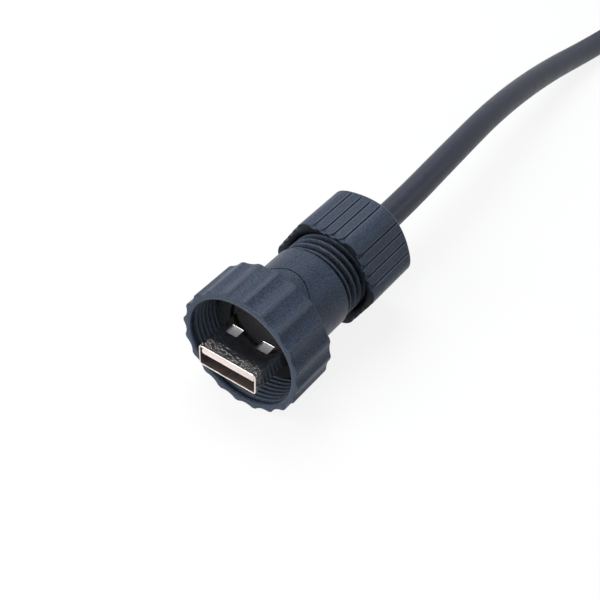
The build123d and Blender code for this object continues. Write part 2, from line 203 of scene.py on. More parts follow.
CONTACT_PLACES = (-3.5, -1.0, 1.0, 3.5)
CONTACT_SLOT_WIDTH = 1.08
CONTACT_SLOT_DEPTH = 0.11
CONTACT_SLOT_START = 0.9
CONTACT_SLOT_RAMP = 0.05
CONTACT_SLOT_SLOPE = 0.02
SEATED = 0.02
SAME_PLACE = 0.02
USB_PLUG = (0, -3.4, -1.1)
FAR_PLUG = (-19.05, 193.5, -8.3)

# Cord, with the route that its solids take, and the hank that it ends in
CORD_DIAMETER = 5.5
FLOOR = -12.3
CORD_LOW = FLOOR + CORD_DIAMETER / 2
HANK_LOW = -11.5
CORD_ROUTE = [
    (0, 20.8, 0),
    (0.3, 47, 0),
    (-0.6, 70, 0.3),
    (-2.1, 94, -0.8),
    (-2.9, 120, -4.9),
    (-1.6, 146, CORD_LOW),
    (1.8, 168, CORD_LOW),
    (9, 188, CORD_LOW),
    (9.4, 205, HANK_LOW + CORD_DIAMETER / 2),
]
TAIL_ROUTE = [
    (-30.65, 262.3, HANK_LOW + CORD_DIAMETER / 2),
    (-30.6, 253.4, HANK_LOW + CORD_DIAMETER / 2),
    (-27.2, 246.2, HANK_LOW + CORD_DIAMETER / 2),
    (-21.9, 240.8, -8.3),
    (-19.2, 233.3, -8.3),
    (-19.05, 225.75, -8.3),
]
HANK_X = -13.55
HANK_NEAR = 201.3
HANK_FAR = 257.7
LANE_OUTER = 22.55
LANE_INNER = 17.05
LANE_BOTTOM = HANK_LOW + CORD_DIAMETER / 2
LANE_TOP = LANE_BOTTOM + CORD_DIAMETER
ARC_STEP = 30
RUN_STOPS = (0.3, 0.5, 0.7)

# Where the line climbs, moves inward and comes down in the hank: see lane
CLIMB = (3.45, 3.95)
MOVE_INWARD = (2.45, 3.05)
DESCENT = (2.15, 2.65)

# Camera
CAMERA_PLACE = (80.46, -99.83, 133.32)
CAMERA_AZIMUTH = 34.48
CAMERA_ELEVATION = 43.3
CAMERA_ROLL = 2.2
CAMERA_LENS = 66.027
CAMERA_SENSOR = 36
CAMERA_NEAR = 10

# Studio: lamps with their name, place, size, power and colour, the world and the floor
LAMPS = (
    ("top_light", (-150, 120, 400), 300, 1.42, (0.94, 0.98, 1.04)),
    ("front_left_light", (-200, -250, 280), 200, 0.8, (0.97, 0.99, 1.0)),
    ("front_light", (-60, -400, 110), 220, 1.25, (1.0, 1.0, 0.98)),
    ("rear_right_light", (250, 235, 195), 80, 0.16, (0.76, 0.95, 1.2)),
)
LAMPS_AIM = (0, 15, 0)
WORLD_COLOUR = (1, 0.95, 0.89)
WORLD_STRENGTH = 0.34
FLOOR_REACH = 3000
FLOOR_COLOUR = (0.6, 0.6, 0.61)
FLOOR_ROUGHNESS = 0.9
FLOOR_GLOW = 1.06
FLOOR_GLOW_SHARE = 0.8

# Finishes: nearly all of a noise lies in its span, and specks show at narrower spans
NOISE_SPAN = (0.3, 0.7)
MOTTLE_SPAN = (0.4, 0.62)
SPECK_SPAN = (0.38, 0.62)
MOTTLE_SIZE = 2.6
FINE_SHARE = 0.7
HUE_GRAINS = 1.3
# How far painted shade goes towards its dark colour at the most, as a share
PAINTED_SHADE_SHARE = 0.85
WAVE_SIZE = 1.1
WAVE_DEPTH = 0.02
SMOOTHER = 0.05
ROUGHER = 0.06
PLATE_CLOUDS = 1.7
PLATE_WAVES = 0.5
PLATE_WAVE_DEPTH = 0.004
PLATE_GRAINS = 0.16
PLATE_GRAIN_SPAN = (0.35, 0.75)
PLATE_ROUGHER = 0.1
PIT_SIZE = 0.22
PIT_SPAN = (0.6, 0.7)
WIRE_GAIN = 1.15
WIRE_LIFT = 0.004

WIRE_COLOURS = {
    "red": (0.5, 0.02, 0.02),
    "white": (0.75, 0.75, 0.72),
    "green": (0.02, 0.3, 0.08),
    "black": (0.012, 0.012, 0.013),
}

# The Mix node takes its share and two colours, and gives their mix, at these sockets
MIX_INPUTS = (0, 6, 7)
MIX_OUTPUT = 2


def clamp(value, low, high):
    return max(low, min(high, value))


def smooth_step(value, start, end):
    """0 before start, 1 after end, and a smooth rise between."""
    t = clamp((value - start) / (end - start), 0, 1)
    return t * t * (3 - 2 * t)


def smooth_min(a, b, width):
    """The lesser of two values, rounded over width where they meet."""
    near = max(width - abs(a - b), 0) / width
    return min(a, b) - near * near * width / 4


def spread(start, end, count):
    """count values from start to end."""
    return [start + (end - start) * i / (count - 1) for i in range(count)]


def full_turn(count=COLUMNS):
    """The angles of count columns round the axis."""
    return [360 / count * column for column in range(count)]


def new_object(name, mesh, sharp_deg):
    mesh.shade_smooth()
    mesh.set_sharp_from_angle(angle=math.radians(sharp_deg))
    thing = bpy.data.objects.new(name, mesh)
    bpy.context.scene.collection.objects.link(thing)
    return thing


def mark_pits_and_painted_light(mesh, shares):
    """Stores a share at each point of a mesh for its material: on nylon a painted highlight above 0
    and painted shade below 0, on plate where it is pitted, and on the tongue its tip.
    """
    mesh.attributes.new("pits_and_painted_light", "FLOAT", "POINT").data.foreach_set("value", shares)


def turned_skin(name, angles, profile, sharp_deg):
    """A closed skin about the axis: profile gives the loop of (radius, place) at an angle.

    A third value gives a painted highlight on an edge there, and below 0 painted shade on a face.
    """
    rows = [profile(angle) for angle in angles]
    count = len(rows[0])
    points = []
    for angle, row in zip(angles, rows):
        across = math.cos(math.radians(angle)) * MM
        up = math.sin(math.radians(angle)) * MM
        points += [(spot[0] * across, spot[1] * MM, spot[0] * up) for spot in row]
    faces = []
    for i in range(len(angles)):
        j = (i + 1) % len(angles)
        for k in range(count):
            following = (k + 1) % count
            faces.append(
                (i * count + k, j * count + k, j * count + following, i * count + following)
            )
    mesh = bpy.data.meshes.new(name)
    mesh.from_pydata(points, [], faces)
    mark_pits_and_painted_light(mesh, [spot[2] if len(spot) > 2 else 0 for row in rows for spot in row])
    mesh.validate()
    return new_object(name, mesh, sharp_deg)


def round_edge(radius, place, size, back):
    """An outer edge rounded over a quarter turn: from its side to its end, or the other way."""
    turns = [math.radians(turn) for turn in EDGE_TURNS_DEG]
    edge = [
        (radius - size + size * math.cos(turn), place - size + size * math.sin(turn))
        for turn in turns
    ]
    if back:
        return edge
    return [(across, 2 * place - along) for across, along in reversed(edge)]


def ridge(place, angle, first, pitch, crest, foot):
    """0 to 1: how high a right-hand thread stands at a place and angle, with a flat crest."""
    away = (place - first + pitch * angle / 360) / pitch
    away = abs(away - round(away)) * pitch
    return 1 - clamp((away - crest / 2) / ((foot - crest) / 2), 0, 1)


# Coupling ring


def off_valley(angle):
    """How far an angle is from its flute's middle: 1 is at the land beside it."""
    pitch = 360 / FLUTES
    off = (angle - FLUTE_VALLEY_DEG + pitch / 2) % pitch - pitch / 2
    return RING_RADIUS * math.radians(abs(off)) / (FLUTE_WIDTH / 2)


def flute(angle, place):
    """How deep a flute is at an angle: an arc across, shallower towards the rear."""
    away = off_valley(angle)
    depth = FLUTE_DEPTH + (FLUTE_REAR_DEPTH - FLUTE_DEPTH) * place / RING_LENGTH
    return max(depth * (1 - away**2), 0)


def ring_profile(angle):
    front = RING_RADIUS - flute(angle, 0)
    rear = RING_RADIUS - flute(angle, RING_LENGTH)
    loop = [(RING_MOUTH_RADIUS + RING_MOUTH_EDGE, 0), (RING_RIM_RADIUS, 0)]
    loop += round_edge(front, 0, RING_EDGE, back=False)
    # The lands between the flutes get a painted highlight
    land = PAINTED_LAND_HIGHLIGHT * smooth_step(off_valley(angle), LAND_START, 1)
    loop += [(RING_RADIUS - flute(angle, place), place, land) for place in FLUTE_ROWS]
    loop += round_edge(rear, RING_LENGTH, RING_REAR_ROUND, back=True)
    loop += [
        (RING_BACK_RADIUS, RING_LENGTH),
        (LIP_RADIUS + LIP_EDGE, RING_LENGTH),
        (LIP_RADIUS, RING_LENGTH - LIP_EDGE),
        (LIP_RADIUS, LIP_FRONT),
        (RING_ROOT_RADIUS, LIP_FRONT),
    ]
    for place in spread(RING_THREAD_END, RING_THREAD_START, RING_THREAD_ROWS):
        height = ridge(place, angle, RING_FIRST_CREST, RING_THREAD_PITCH, *RING_THREAD_WIDTHS)
        height *= smooth_step(RING_THREAD_END - place, 0, RING_THREAD_RUN_OUT)
        height *= smooth_step(place - RING_THREAD_START, 0, RING_THREAD_RUN_IN)
        radius = RING_ROOT_RADIUS - height * (RING_ROOT_RADIUS - RING_CREST_RADIUS)
        # The thread's crests get a painted highlight
        loop.append((radius, place, PAINTED_CREST_HIGHLIGHT * smooth_step(height, RING_CREST_START, 1)))
    loop += [
        RING_RELIEF,
        (RING_STEP_RADIUS, RING_STEP_END),
        (RING_STEP_RADIUS, RING_STEP_START),
        (RING_MOUTH_RADIUS, RING_MOUTH_LENGTH),
        (RING_MOUTH_RADIUS, RING_MOUTH_EDGE),
    ]
    return loop


def coupling_ring():
    ring = turned_skin("ring_fluted", full_turn(), ring_profile, SHARP_DEG)
    return dress(ring, "black_nylon", "ring", "coupling_ring")


# Body


def roundel_places(angle):
    """Where the engraved circle's near and far edges cross the body at an angle."""
    x = BODY_RADIUS * math.cos(math.radians(angle)) - ROUNDEL_CENTRE[0]
    rows = len(ROUNDEL_ROWS)
    hidden = [BODY_FRONT + BODY_EDGE + ROW_GAP * (row + 1) for row in range(rows)]
    outer = ROUNDEL_RADIUS
    inner = ROUNDEL_RADIUS - ROUNDEL_LINE
    if math.sin(math.radians(angle)) < 0 or abs(x) >= inner - ROW_GAP:
        return hidden, 0
    near = ROUNDEL_CENTRE[1] + math.sqrt(inner**2 - x**2)
    far = ROUNDEL_CENTRE[1] + math.sqrt(outer**2 - x**2)
    if near <= hidden[-1]:
        return hidden, 0
    return spread(near, far, rows), ROUNDEL_DEPTH


def body_profile(angle):
    loop = [(BODY_BORE, BODY_FRONT)]
    loop += round_edge(BODY_RADIUS, BODY_FRONT, BODY_EDGE, back=False)
    line, depth = roundel_places(angle)
    loop.append((BODY_RADIUS, line[0] - ROW_GAP / 2))
    for place, share in zip(line, ROUNDEL_ROWS):
        loop.append((BODY_RADIUS - depth * share, place))
    for place in spread(line[-1] + ROW_GAP / 2, BODY_SHOULDER - 2 * BODY_EDGE, BODY_ROWS):
        loop.append((BODY_RADIUS, place))
    loop += round_edge(BODY_RADIUS, BODY_SHOULDER, BODY_EDGE, back=True)
    # Painted shade in the thread's root at the shoulder
    loop += [
        (THREAD_ROOT + THREAD_FILLET, BODY_SHOULDER, PAINTED_SHADE),
        (THREAD_ROOT, BODY_SHOULDER + THREAD_FILLET, PAINTED_SHADE),
    ]
    for place in spread(BODY_SHOULDER + THREAD_MARGIN, BODY_BACK - THREAD_EDGE, THREAD_ROWS):
        height = ridge(place, angle, THREAD_FIRST_CREST, THREAD_PITCH, *THREAD_WIDTHS)
        run_in = place - THREAD_FIRST_CREST + THREAD_PITCH * (angle / 360 + 0.5)
        run_out = THREAD_LAST_CREST - place - THREAD_PITCH * (angle / 360 - 0.5)
        height *= smooth_step(run_in, 0, THREAD_RUN) * smooth_step(run_out, 0, THREAD_RUN)
        # Painted highlight on the crests, and painted shade in the roots
        painted_light = PAINTED_CREST_HIGHLIGHT * smooth_step(height, THREAD_CREST_START, 1)
        painted_light += PAINTED_SHADE * (1 - smooth_step(height, 0, THREAD_PAINTED_SHADE_END))
        loop.append((THREAD_ROOT + height * (THREAD_CREST - THREAD_ROOT), place, painted_light))
    loop += [
        (THREAD_ROOT - THREAD_EDGE, BODY_BACK),
        (SEAL_SEAT_RADIUS, BODY_BACK),
        (SEAL_SEAT_RADIUS, BODY_FLOOR_BACK),
        (BODY_FLOOR_HOLE, BODY_FLOOR_BACK),
        (BODY_FLOOR_HOLE, BODY_FLOOR_FRONT),
        (BODY_BORE, BODY_FLOOR_FRONT),
    ]
    return loop


def connector_body():
    body = turned_skin("body_sleeve", full_turn(), body_profile, BODY_SHARP_DEG)
    return dress(body, "black_nylon", "root", "connector_body")


# Gland nut


def nut_radius(angle):
    """The rounded hexagon's radius at an angle, with flats above and below."""
    off = abs(angle % 60 - 30)
    centre = (NUT_APOTHEM - NUT_CORNER_ROUND) / math.cos(math.radians(30))
    tangent = math.degrees(math.atan2(centre / 2, NUT_APOTHEM))
    if off <= tangent:
        return NUT_APOTHEM / math.cos(math.radians(off))
    beta = math.radians(30 - off)
    return centre * math.cos(beta) + math.sqrt(
        NUT_CORNER_ROUND**2 - (centre * math.sin(beta)) ** 2
    )


def off_groove(angle):
    """How far an angle is, across its flat, from the middle of the nearest grip groove."""
    off = angle % 60 - 30
    away = min(abs(off - middle) for middle in GROOVES_DEG)
    return NUT_APOTHEM * math.sin(math.radians(away))


def groove(angle, width=GROOVE_WIDTH):
    """How deep the nearest grip groove is at an angle."""
    side = width / 2
    return GROOVE_DEPTH * (1 - smooth_step(off_groove(angle), side - GROOVE_WALL, side))


def groove_edge(angle):
    """1 on the fine edge beside a grip groove, and 0 elsewhere."""
    return 1 - smooth_step(abs(off_groove(angle) - GROOVE_EDGE_PLACE), *GROOVE_EDGE_BAND)


def nut_angles():
    """A full turn of columns, with closer ones across each groove in place of the plain ones."""
    across = [0] + [side * step for step in GROOVE_COLUMNS_DEG for side in (-1, 1)]
    grooves = [60 * side + 30 + middle for side in range(6) for middle in GROOVES_DEG]
    angles = {round(place + step, 3) for place in grooves for step in across}
    for plain in full_turn():
        if min(abs(plain - place) for place in grooves) > GROOVE_CLEAR_DEG:
            angles.add(plain)
    return sorted(angles)


def front_round(place):
    """How far the rounded front edge stands in from the nut's side at a place."""
    rest = 1 - clamp(place / NUT_EDGE, 0, 1)
    return NUT_EDGE * (1 - math.sqrt(1 - rest**2))


def nut_profile(angle):
    outer = nut_radius(angle)
    cut = groove(angle)
    # A painted highlight along the edges of the grip grooves
    side = PAINTED_GROOVE_EDGE_HIGHLIGHT * groove_edge(angle)
    # Painted shade on the nut's front face and in its mouth
    loop = [(NUT_BORE + NUT_MOUTH, NUT_FRONT, PAINTED_SHADE)]
    for place in NUT_FRONT_ROWS:
        flare = max(1 - place / NOTCH_LENGTH, 0)
        width = GROOVE_WIDTH + (NOTCH_WIDTH - GROOVE_WIDTH) * flare
        painted_light = 0 if place > 0 else PAINTED_SHADE
        radius = outer - front_round(place) - groove(angle, width)
        loop.append((radius, NUT_FRONT + place, painted_light))
    for place in spread(NUT_FRONT + NUT_FLAT_FRONT, NUT_BACK - NUT_FLAT_BACK, NUT_FLAT_ROWS):
        loop.append((outer - cut, place, side))
    for away in NUT_REAR_ROWS:
        cone = NUT_CONE_RADIUS + NUT_CONE_SLOPE * away
        fade = smooth_step(away, *GROOVE_RUN_OUT)
        # A painted highlight along the rear edge
        rear = PAINTED_REAR_EDGE_HIGHLIGHT * (1 - smooth_step(abs(outer - cone), *REAR_EDGE_BAND))
        radius = smooth_min(outer, cone, NUT_CONE_ROUND) - cut * fade
        loop.append((radius, NUT_BACK - away, max(rear, side * fade)))
    loop += [(NUT_EXIT + wider, NUT_BACK - depth) for wider, depth in NUT_EXIT_FLARE]
    loop += [(NUT_EXIT, NUT_STEP), (NUT_BORE, NUT_STEP)]
    valley = THREAD_FIRST_CREST + THREAD_PITCH / 2
    mouth = NUT_FRONT + NUT_MOUTH
    end = NUT_STEP - NUT_THREAD_END
    for place in spread(end, mouth, NUT_THREAD_ROWS):
        height = ridge(place, angle, valley, THREAD_PITCH, *NUT_THREAD_WIDTHS)
        height *= smooth_step(place - mouth, 0, NUT_THREAD_RUN_IN)
        height *= smooth_step(end - place, 0, NUT_THREAD_RUN_OUT)
        # Painted shade on the thread in the bore
        loop.append((NUT_BORE - height * (NUT_BORE - NUT_CREST), place, PAINTED_SHADE))
    return loop


def gland_nut():
    nut = turned_skin("nut_grooved", nut_angles(), nut_profile, SHARP_DEG)
    return dress(nut, "black_nylon", "nut", "gland_nut")


# USB plugs


def quarter_turns(middle_x, middle_z, radius, first_deg, steps=PLUG_CORNER_STEPS):
    """Points round a corner, clockwise as seen from the plug's mouth."""
    turns = [math.radians(first_deg - 90 * step / steps) for step in range(steps + 1)]
    return [(middle_x + radius * math.cos(t), middle_z + radius * math.sin(t)) for t in turns]


def at_row(plug, along, section):
    """The points of a plug's outline at a distance behind its tip."""
    x, tip, z = plug
    return [((x + a) * MM, (tip + along) * MM, (z + b) * MM) for a, b in section]


def row_face(i, k, count):
    """The face between rows i and i + 1 of count points, after point k."""
    j = (k + 1) % count
    return (i * count + k, i * count + j, (i + 1) * count + j, (i + 1) * count + k)


def sheet_section():
    """The shell's outer outline from the seam below, with columns at the latch holes."""
    half_width = PLUG_WIDTH / 2
    half_height = PLUG_HEIGHT / 2
    inner_x = half_width - PLUG_CORNER
    inner_z = half_height - PLUG_CORNER
    holes = [LATCH_SPACING / 2 - LATCH_WIDTH / 2, LATCH_SPACING / 2 + LATCH_WIDTH / 2]
    across = [-x for x in reversed(holes)] + [0] + holes
    points = [(0, SEAM - half_height), (-SEAM, -half_height)]
    points += [(-x, -half_height) for x in holes]
    points += quarter_turns(-inner_x, -inner_z, PLUG_CORNER, 270)
    points += quarter_turns(-inner_x, inner_z, PLUG_CORNER, 180)
    points += [(x, half_height) for x in across]
    points += quarter_turns(inner_x, inner_z, PLUG_CORNER, 90)
    points += quarter_turns(inner_x, -inner_z, PLUG_CORNER, 0)
    points += [(x, -half_height) for x in reversed(holes)]
    points.append((SEAM, -half_height))
    return points


def plug_shell(name, plug, body, node):
    """The folded sheet: one skin with four latch holes, given its thickness and soft edges."""
    section = sheet_section()
    hole_rows = [LATCH_PLACE, LATCH_PLACE + LATCH_LENGTH]
    rows = SHEET_FRONT_ROWS + hole_rows + SHEET_BACK_ROWS
    hole_middle = LATCH_SPACING / 2
    points = [point for row in rows for point in at_row(plug, row, section)]
    faces = []
    count = len(section)
    for i, row in enumerate(rows[:-1]):
        for k in range(count):
            here = section[k]
            following = section[(k + 1) % count]
            middle = (here[0] + following[0]) / 2
            flat = abs(here[1] - following[1]) < SAME_PLACE
            if row == LATCH_PLACE and flat and abs(abs(middle) - hole_middle) < SAME_PLACE:
                continue
            faces.append(row_face(i, k, count))
    mesh = bpy.data.meshes.new(name)
    mesh.from_pydata(points, [], faces)
    mark_pits_and_painted_light(mesh, [1 - smooth_step(row, 0, PITTED_LENGTH) for row in rows for _ in section])
    shell = new_object(name, mesh, SHARP_DEG)
    thickness = shell.modifiers.new("sheet", "SOLIDIFY")
    thickness.thickness = PLUG_WALL * MM
    thickness.offset = -1
    thickness.use_even_offset = True
    thickness.material_offset = 1
    edges = shell.modifiers.new("edges", "BEVEL")
    edges.width = SHEET_EDGE * MM
    edges.segments = 3
    edges.limit_method = "ANGLE"
    edges.angle_limit = math.radians(SHARP_DEG)
    edges.harden_normals = True
    dress(shell, "plug_shell", body, node)
    # The sheet's inner faces get a darker, browner nickel: painted shade inside the shell
    shell.data.materials.append(materials["plug_inside_painted_shade"])
    return shell


def tongue_section(low, high, half_width, slot):
    """The tongue's outline, with the four contact slots in its lower face."""
    inner_x = half_width - TONGUE_CORNER
    points = []
    for middle in reversed(CONTACT_PLACES):
        side = CONTACT_SLOT_WIDTH / 2
        foot = side + CONTACT_SLOT_SLOPE
        for away, up in ((foot, 0), (side, slot), (-side, slot), (-foot, 0)):
            points.append((middle + away, low + up))
    inner_low = low + TONGUE_CORNER
    inner_high = high - TONGUE_CORNER
    corners = (
        (-inner_x, inner_low, 270),
        (-inner_x, inner_high, 180),
        (inner_x, inner_high, 90),
        (inner_x, inner_low, 0),
    )
    for x, z, first_deg in corners:
        points += quarter_turns(x, z, TONGUE_CORNER, first_deg, TONGUE_CORNER_STEPS)
    return points


def plug_tongue(name, plug, body, node):
    """The pale insulator: a tongue with a sloped front edge, and the block behind it."""
    top = PLUG_HEIGHT / 2 - PLUG_WALL - SEATED
    bottom = top - TONGUE_THICKNESS
    floor = -top
    width = TONGUE_HALF_WIDTH
    front = TONGUE_SETBACK
    slot = CONTACT_SLOT_DEPTH
    lip = top - TONGUE_LIP_DROP
    edge = TONGUE_EDGE
    start = lip - TONGUE_CHAMFER
    slots = front + CONTACT_SLOT_START
    stations = [
        (front, bottom + edge, start, width - TONGUE_TAPER[0], 0),
        (front + edge, bottom, start + edge, width - TONGUE_TAPER[1], 0),
        (front + TONGUE_CHAMFER_LENGTH, bottom, lip, width, 0),
        (slots, bottom, lip, width, 0),
        (slots + CONTACT_SLOT_RAMP, bottom, lip, width, slot),
        (front + TONGUE_LIP_LENGTH, bottom, lip, width, slot),
        (front + TONGUE_LIP_LENGTH + TONGUE_LIP_DROP, bottom, top, width, slot),
        (SOCKET_DEPTH - CONTACT_SLOT_RAMP, bottom, top, width, slot),
        (SOCKET_DEPTH, floor, top, width, 0),
        (PLUG_LENGTH - TONGUE_BACK_GAP, floor, top, width, 0),
    ]
    points = []
    for along, low, high, half_width, depth in stations:
        section = tongue_section(low, high, half_width, depth)
        points += at_row(plug, along, section)
    count = len(section)
    faces = [tuple(range(count - 1, -1, -1))]
    for i in range(len(stations) - 1):
        faces += [row_face(i, k, count) for k in range(count)]
    last = (len(stations) - 1) * count
    faces.append(tuple(range(last, last + count)))
    mesh = bpy.data.meshes.new(name)
    mesh.from_pydata(points, [], faces)
    tip_end = front + TONGUE_TIP_LENGTH
    # The tip is marked creamy; behind it the tongue is darker grey, painted shade under the shell
    mark_pits_and_painted_light(mesh, [float(station[0] < tip_end) for station in stations for _ in section])
    tongue = new_object(name, mesh, TONGUE_SHARP_DEG)
    return dress(tongue, "tongue_plastic", body, node)


# Cord


def lane(circuit, progress):
    """The radius and height of the line in the hank: progress is 0 to 4 round a circuit."""
    lift = 1 if circuit in (1, 2) else 0
    inward = 1 if circuit > 1 else 0
    if circuit == 0:
        lift = smooth_step(progress, *CLIMB)
    if circuit == 1:
        inward = smooth_step(progress, *MOVE_INWARD)
    if circuit == 2:
        lift = 1 - smooth_step(progress, *DESCENT)
    radius = LANE_OUTER + (LANE_INNER - LANE_OUTER) * inward
    return radius, LANE_BOTTOM + (LANE_TOP - LANE_BOTTOM) * lift


def hank_point(circuit, progress):
    """A control point: on a straight run, or outside its half turn so that the line keeps to it."""
    radius, height = lane(circuit, progress)
    side, share = divmod(progress, 1)
    along = share * (HANK_FAR - HANK_NEAR)
    if side == 0:
        return (HANK_X + radius, HANK_NEAR + along, height)
    if side == 2:
        return (HANK_X - radius, HANK_FAR - along, height)
    centre = HANK_FAR if side == 1 else HANK_NEAR
    turn = math.radians(180 * (share + (side == 3)))
    reach = radius / math.cos(math.radians(ARC_STEP / 2))
    return (HANK_X + reach * math.cos(turn), centre + reach * math.sin(turn), height)


def hank_points():
    """The hank's circuits: up the right side, round the far end, back, and round the near end."""
    half_step = ARC_STEP / 360
    on_arc = [half_step + ARC_STEP / 180 * step for step in range(180 // ARC_STEP)]
    points = []
    for circuit in range(4):
        for side in range(2 if circuit == 3 else 4):
            stops = on_arc
            if side in (0, 2):
                radius = lane(circuit, side + 0.5)[0]
                bend = radius * math.tan(math.radians(ARC_STEP / 2)) / (HANK_FAR - HANK_NEAR)
                stops = [bend, *RUN_STOPS, 1 - bend]
            points += [hank_point(circuit, side + stop) for stop in stops]
    return points[1:-1]


def cord():
    """The cord from inside the gland to the far plug, on one smooth line."""
    curve = bpy.data.curves.new("cord_line", "CURVE")
    curve.dimensions = "3D"
    curve.bevel_depth = CORD_DIAMETER / 2 * MM
    curve.bevel_resolution = 7
    curve.resolution_u = 10
    curve.use_fill_caps = True
    route = CORD_ROUTE + hank_points() + TAIL_ROUTE
    line = curve.splines.new("NURBS")
    line.points.add(len(route) - 1)
    for point, place in zip(line.points, route):
        point.co = (*(Vector(place) * MM), 1)
    line.order_u = 3
    line.use_endpoint_u = True
    line.use_smooth = True
    thing = bpy.data.objects.new("cord_black", curve)
    bpy.context.scene.collection.objects.link(thing)
    dress(thing, "cord_jacket", "root", "cord", "cord_hank", "cord_tail")
    far_end = ["far_plug_grip", "far_plug_sheet", "far_plug_insulator"]
    far_end += [f"far_plug_contact_{number}" for number in range(1, 5)]
    return thing


# Materials


class Nodes:
    """A material's node tree, with short calls for the nodes that the finishes share."""

    def __init__(self, name):
        self.material = bpy.data.materials.new(name)
        self.material.use_nodes = True
        self.tree = self.material.node_tree
        self.shader = self.tree.nodes["Principled BSDF"]
        self.tree.links.clear()
        output = self.tree.nodes["Material Output"]
        self.join(self.shader.outputs[0], output.inputs["Surface"])
        coordinates = self.tree.nodes.new("ShaderNodeTexCoord")
        scale = self.tree.nodes.new("ShaderNodeMapping")
        scale.inputs["Scale"].default_value = (1 / MM, 1 / MM, 1 / MM)
        self.join(coordinates.outputs["Object"], scale.inputs["Vector"])
        self.place = scale.outputs["Vector"]

    def join(self, source, target):
        self.tree.links.new(source, target)

    def set(self, **values):
        for name, value in values.items():
            socket = self.shader.inputs[name.replace("_", " ")]
            socket.default_value = (*value, 1) if isinstance(value, tuple) else value

    def noise(self, size, detail=2.0, rough=0.5):
        """Noise with grains about size millimetres across."""
        node = self.tree.nodes.new("ShaderNodeTexNoise")
        node.inputs["Scale"].default_value = 1 / size
        node.inputs["Detail"].default_value = detail
        node.inputs["Roughness"].default_value = rough
        self.join(self.place, node.inputs["Vector"])
        return node.outputs["Fac"]

    def ramp(self, value, low, high, low_colour, high_colour):
        """Colours between two values of an input."""
        node = self.tree.nodes.new("ShaderNodeValToRGB")
        node.color_ramp.elements[0].position = low
        node.color_ramp.elements[1].position = high
        node.color_ramp.elements[0].color = (*low_colour, 1)
        node.color_ramp.elements[1].color = (*high_colour, 1)
        self.join(value, node.inputs["Fac"])
        return node.outputs["Color"]

    def range(self, value, low, high, to_low, to_high):
        """A value taken from one span to another, and held to its ends."""
        node = self.tree.nodes.new("ShaderNodeMapRange")
        for name, number in (
            ("From Min", low),
            ("From Max", high),
            ("To Min", to_low),
            ("To Max", to_high),
        ):
            node.inputs[name].default_value = number
        self.join(value, node.inputs["Value"])
        return node.outputs["Result"]

    def mix(self, share, colour, other):
        """One colour at a share of 0 and the other at 1."""
        node = self.tree.nodes.new("ShaderNodeMix")
        node.data_type = "RGBA"
        for index, value in zip(MIX_INPUTS, (share, colour, other)):
            if isinstance(value, tuple):
                node.inputs[index].default_value = (*value, 1)
            else:
                self.join(value, node.inputs[index])
        return node.outputs[MIX_OUTPUT]

    def mark(self):
        """What is stored on the mesh: above 0 a painted highlight on nylon, pits on plate and the
        tongue's tip, and below 0 painted shade.
        """
        node = self.tree.nodes.new("ShaderNodeAttribute")
        node.attribute_name = "pits_and_painted_light"
        return node.outputs["Fac"]

    def pits_and_painted_light(self):
        """The stored share from 0 to 1: a painted highlight on nylon, pits on plate and the
        tongue's tip.
        """
        return self.range(self.mark(), 0, 1, 0, 1)

    def painted_shade_amount(self, most):
        """How much painted shade a place gets, from 0 to most."""
        return self.range(self.mark(), PAINTED_SHADE, 0, most, 0)

    def wavy_skin(self):
        """The normal of a moulded skin that isn't quite flat."""
        return self.bump(self.noise(WAVE_SIZE), WAVE_DEPTH)

    def math(self, operation, a, b):
        node = self.tree.nodes.new("ShaderNodeMath")
        node.operation = operation
        for socket, value in zip(node.inputs, (a, b)):
            if isinstance(value, (int, float)):
                socket.default_value = value
            else:
                self.join(value, socket)
        return node.outputs["Value"]

    def bump(self, height, depth, under=None):
        """Bump of a depth in millimetres on the shader's normal."""
        node = self.tree.nodes.new("ShaderNodeBump")
        node.inputs["Distance"].default_value = depth * MM
        node.inputs["Strength"].default_value = 1
        self.join(height, node.inputs["Height"])
        if under is not None:
            self.join(under, node.inputs["Normal"])
        return node.outputs["Normal"]

    def finish(self, colour, roughness, normal):
        for name, source in (("Base Color", colour), ("Roughness", roughness), ("Normal", normal)):
            self.join(source, self.shader.inputs[name])
        return self.material


def grained_plastic(name, dark, light, grain, depth, rough, specular):
    """Moulded plastic: fine grain, soft mottling of colour and uneven gloss."""
    nodes = Nodes(name)
    nodes.set(Specular_IOR_Level=specular)
    fine = nodes.noise(grain, detail=3, rough=0.6)
    broad = nodes.noise(MOTTLE_SIZE, detail=3, rough=0.55)
    fine_part = nodes.math("MULTIPLY", fine, FINE_SHARE)
    broad_part = nodes.math("MULTIPLY", broad, 1 - FINE_SHARE)
    mottle = nodes.math("ADD", fine_part, broad_part)
    colour = nodes.ramp(mottle, *MOTTLE_SPAN, dark, light)
    roughness = nodes.range(broad, *NOISE_SPAN, rough - SMOOTHER, rough + ROUGHER)
    return nodes.finish(colour, roughness, nodes.bump(fine, depth, nodes.wavy_skin()))


